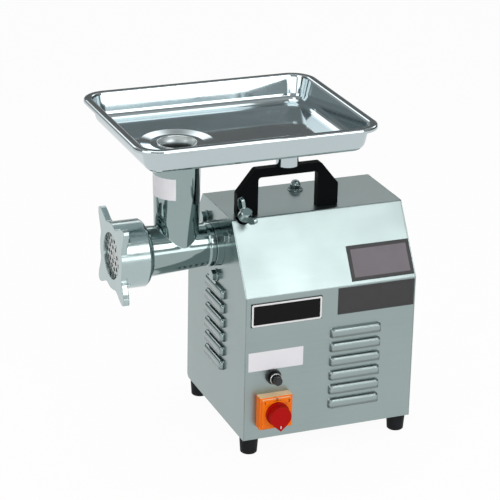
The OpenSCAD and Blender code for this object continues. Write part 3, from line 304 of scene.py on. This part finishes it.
def add_plate(bm, outline, place, low, high):
    """A closed plate between the levels low and high; place(u, v, w) gives a point in metres."""
    rows = [[bm.verts.new(place(u, v, w)) for u, v in outline] for w in (low, high)]
    stitch(bm, rows)
    for row in rows:
        bm.faces.new(row)


def plate(outline, place, low, high):
    bm = bmesh.new()
    add_plate(bm, outline, place, low, high)
    return bm


def border(outline, hole, place, low, high):
    """A flat frame; the outline and its hole have the same number of points."""
    bm = bmesh.new()
    loops = ((outline, low), (outline, high), (hole, high), (hole, low))
    stitch(bm, [[bm.verts.new(place(u, v, w)) for u, v in loop] for loop, w in loops], round_rows=True)
    return bm


def strokes(lines, place, width, low, high):
    """Flat strokes with round ends along lines of points, as a printed or moulded mark."""
    bm = bmesh.new()
    for line in lines:
        for (x0, y0), (x1, y1) in zip(line, line[1:]):
            a = math.atan2(y1 - y0, x1 - x0)
            outline = arc(x1, y1, width / 2, a - math.pi / 2, math.pi, 6)
            outline += arc(x0, y0, width / 2, a + math.pi / 2, math.pi, 6)
            add_plate(bm, outline, place, low, high)
    return bm


def arc(x, y, radius, start, sweep, steps):
    """Points of an arc, from the angle start over sweep, both in radians."""
    angles = (start + sweep * k / steps for k in range(steps + 1))
    return [(x + radius * math.cos(a), y + radius * math.sin(a)) for a in angles]


def rounded_rect(x0, x1, y0, y1, r):
    quarter = math.pi / 2
    corners = ((x1 - r, y1 - r), (x0 + r, y1 - r), (x0 + r, y0 + r), (x1 - r, y0 + r))
    return [point for k, (x, y) in enumerate(corners) for point in arc(x, y, r, k * quarter, quarter, 6)]


def inset_rect(box, left, right, below, above, radius):
    """A rounded outline inside box, which is x0, x1, y0, y1; the insets and the radius are in mm."""
    return rounded_rect(box[0] + left * MM, box[1] - right * MM, box[2] + below * MM, box[3] - above * MM,
                        radius * MM)


def ring_about(centre, axis, section, steps=64):
    """A closed ring; section lists its points as (distance from the axis, distance along it)."""
    axis = Vector(axis).normalized()
    side = axis.orthogonal().normalized()
    other = axis.cross(side)
    bm = bmesh.new()
    rows = []
    for k in range(steps):
        a = 2 * math.pi * k / steps
        out = side * math.cos(a) + other * math.sin(a)
        rows.append([bm.verts.new(Vector(centre) + out * r + axis * h) for r, h in section])
    stitch(bm, rows, round_rows=True)
    return bm


def bead(centre, axis, radius, tube, sides=12):
    """A ring of round section about an axis."""
    angles = (2 * math.pi * j / sides for j in range(sides))
    return ring_about(centre, axis, [(radius + tube * math.cos(b), tube * math.sin(b)) for b in angles])


# ---------------------------------------------------------------- places
# the case's front wall, the outer faces of its side panels, and the two bends of its front slope
CASE_FRONT_Y = -0.1035
CASE_END_X = 0.1165
LOWER_BEND = Vector((0, CASE_FRONT_Y, 0.218))
UPPER_BEND = Vector((0, -0.0500, 0.3034))

badge_low, badge_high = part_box("badge_plate")
plate_low, plate_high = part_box("front_plate")
switch_low, switch_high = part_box("switch_housing")
knob_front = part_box("switch_knob")[0].y
leg_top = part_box("pan_leg")[1].z
switch_x = (switch_low.x + switch_high.x) / 2
switch_z = (switch_low.z + switch_high.z) / 2
throat_x = mounts["feed_hole"].x
head_z = mounts["outlet"].z

# levels of the undersides of borders, labels and marks, a little inside what carries them
SUNK = -0.1 * MM
PRINT = -0.05 * MM


def on_face(y):
    """Places on a wall that faces the front: u along X, v up, w out of the wall."""
    return lambda u, v, w: Vector((u, y - w, v))


def on_left(u, v, w):
    return Vector((-CASE_END_X - w, u, v))


def on_right(u, v, w):
    return Vector((CASE_END_X + w, u, v))


# ---------------------------------------------------------------- badge, plates and labels
badge = (badge_low.x, badge_high.x, badge_low.z, badge_high.z)
add_piece("badge_border",
          border(inset_rect(badge, 0.3, 0.3, 0.3, 0.3, 2.4), inset_rect(badge, 2.7, 2.7, 2.7, 2.7, 1.2),
                 on_face(badge_low.y), SUNK, 0.12 * MM),
          "white_paint", "housing", 0.05 * MM)

grey_plate = (plate_low.x, plate_high.x, plate_low.z, plate_high.z)
add_piece("front_plate_border",
          border(inset_rect(grey_plate, 2.0, 3.2, 1.8, 2.5, 0.8),
                 inset_rect(grey_plate, 3.2, 4.4, 3.0, 3.7, 0.5), on_face(plate_low.y), SUNK, 0.10 * MM),
          "dark_print", "housing", 0.03 * MM)

FRONT_LABEL = (-0.1115, -0.0370, 0.1175, 0.1433)
add_piece("front_label",
          plate(rounded_rect(*FRONT_LABEL, 0.8 * MM), on_face(CASE_FRONT_Y), PRINT, 0.16 * MM),
          "white_label", "housing", 0.05 * MM)

# the slope plate: u runs along X, v up the slope
up_slope = (UPPER_BEND - LOWER_BEND).normalized()
out_slope = Vector((1, 0, 0)).cross(up_slope).normalized()
slope_points = [vertex.co for vertex in nodes["slope_plate"].data.vertices]
slope_top = max((point - LOWER_BEND).dot(out_slope) for point in slope_points)
slope_climbs = [(point - LOWER_BEND).dot(up_slope) for point in slope_points]
slope_plate = (min(point.x for point in slope_points), max(point.x for point in slope_points),
               min(slope_climbs), max(slope_climbs))


def on_slope(u, v, w):
    return LOWER_BEND + Vector((u, 0, 0)) + up_slope * v + out_slope * (slope_top + w)


add_piece("slope_plate_border",
          border(inset_rect(slope_plate, 3.0, 3.0, 3.0, 3.4, 0.8),
                 inset_rect(slope_plate, 4.6, 4.6, 4.6, 5.0, 0.4), on_slope, SUNK, 0.10 * MM),
          "dark_print", "housing", 0.03 * MM)
add_piece("slope_plate_field",
          plate(inset_rect(slope_plate, 4.7, 4.7, 4.7, 5.1, 0.4), on_slope, SUNK, 0.06 * MM),
          "slope_print", "housing", 0.02 * MM)


# the throat's outer radius at the tube's axis and above the taper, its height, and the taper's share of it
THROAT_NARROW = 28 * MM
THROAT_WIDE = 30 * MM
THROAT_HEIGHT = 138.7 * MM
TAPER_SHARE = 0.7


def throat_radius(z):
    """The throat widens from the tube's axis up to the end of its taper, and is straight above that."""
    climbed = min(1, (z - head_z) / (TAPER_SHARE * THROAT_HEIGHT))
    return THROAT_NARROW + (THROAT_WIDE - THROAT_NARROW) * climbed


def throat_label():
    """A label wrapped round the throat, a little into it and a little out of it."""
    low, high, under, over = 0.3290, 0.3570, PRINT, 0.14 * MM
    first, last, steps = math.radians(-111.3), math.radians(-222.0), 36
    bm = bmesh.new()
    columns = []
    for k in range(steps + 1):
        a = first + (last - first) * k / steps
        out = Vector((math.cos(a), math.sin(a), 0))
        columns.append([bm.verts.new(Vector((throat_x, 0, z)) + out * (throat_radius(z) + lift))
                        for lift, z in ((under, low), (over, low), (over, high), (under, high))])
    stitch(bm, columns)
    bm.faces.new(columns[0])
    bm.faces.new(columns[-1])
    return bm


add_piece("throat_label", throat_label(), "white_label", "head", 0.04 * MM)

# ---------------------------------------------------------------- switch marks and knob line
# strokes of each digit, in half heights from its centre
DIGITS = {
    "0": [(-0.5, -0.6), (-0.5, 0.6), (0, 1.0), (0.5, 0.6), (0.5, -0.6), (0, -1.0), (-0.5, -0.6)],
    "1": [(-0.35, 0.6), (0.1, 1.0), (0.1, -1.0)],
    "2": [(-0.5, 0.6), (0, 1.0), (0.5, 0.6), (0.45, 0.1), (-0.5, -1.0), (0.55, -1.0)],
}
# where each digit stands, and half its height, in mm
DIGIT_PLACES = {"1": (-16.4, 15.6), "0": (0, 19.2), "2": (16.4, 15.6)}
HALF_HEIGHT = 1.7


def on_switch(u, v):
    """The place that is u, v in mm from the switch's centre."""
    return switch_x + u * MM, switch_z + v * MM


for digit, (u, v) in DIGIT_PLACES.items():
    line = [on_switch(u + HALF_HEIGHT * right, v + HALF_HEIGHT * up) for right, up in DIGITS[digit]]
    add_piece("switch_mark_" + digit, strokes([line], on_face(switch_low.y), 0.8 * MM, PRINT, 0.06 * MM),
              "dark_print", "housing")

# an arc in three pieces, one under each digit
scale = arc(switch_x, switch_z, 17.6 * MM, math.radians(35), math.radians(110), 24)
scale_lines = [scale[:5], scale[8:17], scale[20:]]
add_piece("switch_scale",
          strokes(scale_lines, on_face(switch_low.y), 0.35 * MM, PRINT, 0.05 * MM),
          "dark_print", "housing")
pointer = [on_switch(0, -12.2), on_switch(0, -15.0)]
add_piece("knob_line",
          strokes([pointer], on_face(knob_front), 1.3 * MM, SUNK, 0.12 * MM),
          "white_paint", "switch", 0.05 * MM)

# ---------------------------------------------------------------- louvre faces
LOUVRE_COUNT = 6
LOUVRE_PITCH = 19.7 * MM
# from the top of a louvre down to its mouth, and from the mouth up to the edge of the pressed face
LOUVRE_DROP = 12.0 * MM
LOUVRE_RISE = 12.7 * MM
# width of the rounded shoulder, and the radius of the corners at its foot
LOUVRE_SHOULDER = 4.2 * MM
LOUVRE_CORNER = 5.5 * MM
LOUVRE_SHEET = 0.6 * MM
SHOULDER_STEPS = 6


def louvre_face(bm, place, length, out):
    """The face of a louvre: steep rounded shoulders at the top and the ends, flat between, open below."""
    rings = []
    for k in range(SHOULDER_STEPS + 1):
        t = math.pi / 2 * k / SHOULDER_STEPS
        inset = LOUVRE_SHOULDER * (1 - math.cos(t))
        r = LOUVRE_CORNER - inset
        y = LOUVRE_RISE - inset - r
        left = [(inset + x, y + z) for x, z in reversed(arc(r, 0, r, math.pi / 2, math.pi / 2, 8))]
        right = [(length - u, v) for u, v in reversed(left)]
        line = [(inset, 0.0)] + left + right + [(length - inset, 0.0)]
        rings.append([bm.verts.new(place(u, v, out * math.sin(t))) for u, v in line])
    stitch(bm, rings, round_points=False)
    bm.faces.new(rings[-1])


def louvre_faces(name, place, start, length, top, out, finish):
    """A column of louvres from start along the panel, the first one's top at the height top."""
    bm = bmesh.new()
    for k in range(LOUVRE_COUNT):
        mouth = top - LOUVRE_PITCH * k - LOUVRE_DROP
        louvre_face(bm, lambda u, v, w, mouth=mouth: place(start + u, mouth + v, w), length, out)
    made = add_piece(name, bm, finish, "housing", smooth=True)
    skin = made.modifiers.new("sheet", "SOLIDIFY")
    skin.thickness = LOUVRE_SHEET
    skin.offset = -1


FRONT_LOUVRES = dict(start=-0.0005, length=0.0700, top=0.162, finish="case_steel")
SIDE_LOUVRES = dict(start=-0.0315, length=0.0630, top=0.201, finish="side_steel")
louvre_faces("louvre_faces_front", on_face(CASE_FRONT_Y), out=5.2 * MM, **FRONT_LOUVRES)
louvre_faces("louvre_faces_left", on_left, out=5.2 * MM, **SIDE_LOUVRES)
# the right side's louvres mark the size of the whole in X, so they stay inside the CAD's
louvre_faces("louvre_faces_right", on_right, out=4.99 * MM, **SIDE_LOUVRES)

# ---------------------------------------------------------------- beads
UP, BACKWARDS = (0, 0, 1), (0, 1, 0)
LEG_X, LEG_Y = -0.0365, -0.0335
# the breaker ring's height, and how far it stands in front of the case
BREAKER_Z = 0.1075
BREAKER_OUT = 9.5 * MM
MOUTH_Z = 0.3952

add_piece("pan_leg_bead", bead((LEG_X, LEG_Y, leg_top - 0.4 * MM), UP, 14.6 * MM, 1.1 * MM),
          "pan_steel", "feed_pan", smooth=True)
add_piece("breaker_ring",
          bead((switch_x, CASE_FRONT_Y - BREAKER_OUT, BREAKER_Z), BACKWARDS, 6.9 * MM, 0.8 * MM),
          "screw_steel", "housing", smooth=True)

# the collar's mouth in the pan has a rolled lip, and its inside is brushed down to the lining's end
LINING_IN, LINING_OUT = 23.80 * MM, 24.05 * MM
LINING_DEEP = -19.5 * MM
add_piece("pan_mouth_lip", bead((throat_x, 0, MOUTH_Z + 0.2 * MM), UP, 24.7 * MM, 0.9 * MM),
          "screw_steel", "feed_pan", smooth=True)
lining = [(LINING_IN, LINING_DEEP), (LINING_IN, 0), (LINING_OUT, 0), (LINING_OUT, LINING_DEEP)]
add_piece("pan_collar_lining", ring_about((throat_x, 0, MOUTH_Z), UP, lining),
          "satin_steel", "feed_pan", smooth=True)

# ---------------------------------------------------------------- floor
FLOOR_REACH = 40
FLOOR_SHADE = 0.90
# share of plain white in what the camera and mirrors see of the floor; the rest is lit and keeps the shadow
FLOOR_WHITE = 0.95

corners = [(x * FLOOR_REACH, y * FLOOR_REACH, 0) for x, y in ((-1, -1), (1, -1), (1, 1), (-1, 1))]
floor_mesh = bpy.data.meshes.new("floor")
floor_mesh.from_pydata(corners, [], [(0, 1, 2, 3)])
floor = bpy.data.objects.new("floor", floor_mesh)
scene.collection.objects.link(floor)

paper = bpy.data.materials.new("paper")
tree, output = bare_tree(paper, "ShaderNodeOutputMaterial")
path = tree.nodes.new("ShaderNodeLightPath").outputs
mirrored = maths(tree, "MAXIMUM", path["Is Glossy Ray"], path["Is Transmission Ray"])
seen = maths(tree, "MAXIMUM", path["Is Camera Ray"], mirrored)
lit = node(tree, "ShaderNodeBsdfDiffuse", Color=(FLOOR_SHADE, FLOOR_SHADE, FLOOR_SHADE, 1))
white = node(tree, "ShaderNodeEmission", Color=(1, 1, 1, 1), Strength=1.0)
mix_shaders(tree, maths(tree, "MULTIPLY", seen, FLOOR_WHITE), lit, white, output)
floor_mesh.materials.append(paper)

# ---------------------------------------------------------------- studio
# level of the studio by height: 0 is straight down, 0.5 the horizon and 1 straight up
SKY = 3.2
BEHIND = ((0.0, 0.19), (0.48, 0.20), (0.56, 0.14), (0.63, 0.05), (0.685, 0.06), (0.730, 0.65), (0.76, 0.65),
          (0.80, 0.12), (1.0, 0.10))
FRONT = ((0.0, 0.19), (0.47, 0.45), (0.505, 1.0), (0.56, 0.95), (0.61, 0.16), (0.80, 0.12), (1.0, 0.2))
SIDES = ((0.0, 0.14), (0.48, 0.04), (0.52, 0.015), (0.60, 0.015), (0.75, 0.11), (1.0, 0.2))


def ramp_of(tree, value, stops):
    """Greys by value, from stops of (position, level)."""
    made = tree.nodes.new("ShaderNodeValToRGB")
    made.color_ramp.interpolation = "EASE"
    elements = made.color_ramp.elements
    for element, (position, level) in zip(elements, (stops[0], stops[-1])):
        element.position = position
        element.color = (level, level, level, 1)
    for position, level in stops[1:-1]:
        elements.new(position).color = (level, level, level, 1)
    tree.links.new(value, made.inputs[0])
    return made.outputs[0]


world = bpy.data.worlds.new("studio")
scene.world = world
tree, output = bare_tree(world, "ShaderNodeOutputWorld")
parts = tree.nodes.new("ShaderNodeSeparateXYZ")
tree.links.new(node(tree, "ShaderNodeTexCoord").outputs["Generated"], parts.inputs[0])
x, y, z = (parts.outputs[axis] for axis in "XYZ")
height = maths(tree, "MULTIPLY", maths(tree, "ADD", z, 1.0), 0.5)
behind, front, sides = (ramp_of(tree, height, stops) for stops in (BEHIND, FRONT, SIDES))
sky = blend_colours(tree, soft_step(tree, y, 0.15, -0.45), behind, front)
sky = blend_colours(tree, soft_step(tree, maths(tree, "ABSOLUTE", x), 0.62, 0.86), sky, sides)
studio = node(tree, "ShaderNodeBackground", Strength=SKY)
tree.links.new(sky, studio.inputs["Color"])
white = node(tree, "ShaderNodeBackground", Color=(1, 1, 1, 1), Strength=1.0)
mix_shaders(tree, tree.nodes.new("ShaderNodeLightPath").outputs["Is Camera Ray"], studio, white, output)

# ---------------------------------------------------------------- lamps
LIT_POINT = Vector((-0.06, 0, 0.2))


def soft_box(name, direction, distance, width, height, watts):
    """A rectangular lamp in a direction from the lit point, facing it."""
    lamp = bpy.data.lights.new(name, "AREA")
    lamp.shape = "RECTANGLE"
    lamp.size, lamp.size_y = width, height
    lamp.energy = watts
    made = bpy.data.objects.new(name, lamp)
    scene.collection.objects.link(made)
    made.location = LIT_POINT + Vector(direction).normalized() * distance
    made.rotation_mode = "QUATERNION"
    made.rotation_quaternion = (LIT_POINT - made.location).to_track_quat("-Z", "Y")


soft_box("key_box", (0.27, -0.76, 0.53), 1.9, 1.0, 0.7, 8.2)
soft_box("side_box", (-0.95, -0.30, 0.45), 1.8, 0.9, 1.2, 7)
soft_box("top_box", (0.0, 0.15, 1.0), 1.7, 1.2, 1.2, 9)

# ---------------------------------------------------------------- camera, fitted to the photograph
AZIMUTH, ELEVATION, ROLL = math.radians(-22.04), math.radians(21.70), math.radians(1.24)
DISTANCE = 2.7676
# the point looked at: how far to the camera's right of the upright axis, and how high
LOOK_RIGHT, LOOK_HEIGHT = -0.06553, 0.22842
PHOTO_PIXELS = 500
FOCAL_PIXELS = 2135.08
SENSOR_WIDTH = 36

camera = bpy.data.objects.new("camera", bpy.data.cameras.new("camera"))
scene.collection.objects.link(camera)
back = Vector((math.sin(AZIMUTH) * math.cos(ELEVATION), -math.cos(AZIMUTH) * math.cos(ELEVATION),
               math.sin(ELEVATION)))
right = (-back).cross(Vector((0, 0, 1))).normalized()
upward = right.cross(-back)
target = right * LOOK_RIGHT
target.z = LOOK_HEIGHT
across = right * math.cos(ROLL) + upward * math.sin(ROLL)
over = upward * math.cos(ROLL) - right * math.sin(ROLL)
turn = Matrix((across, over, back)).transposed().to_4x4()
camera.matrix_world = Matrix.Translation(target + back * DISTANCE) @ turn
camera.data.sensor_width = SENSOR_WIDTH
camera.data.lens = FOCAL_PIXELS * SENSOR_WIDTH / PHOTO_PIXELS
camera.data.clip_start, camera.data.clip_end = 0.05, 100
scene.camera = camera
scene.view_settings.view_transform = "Standard"
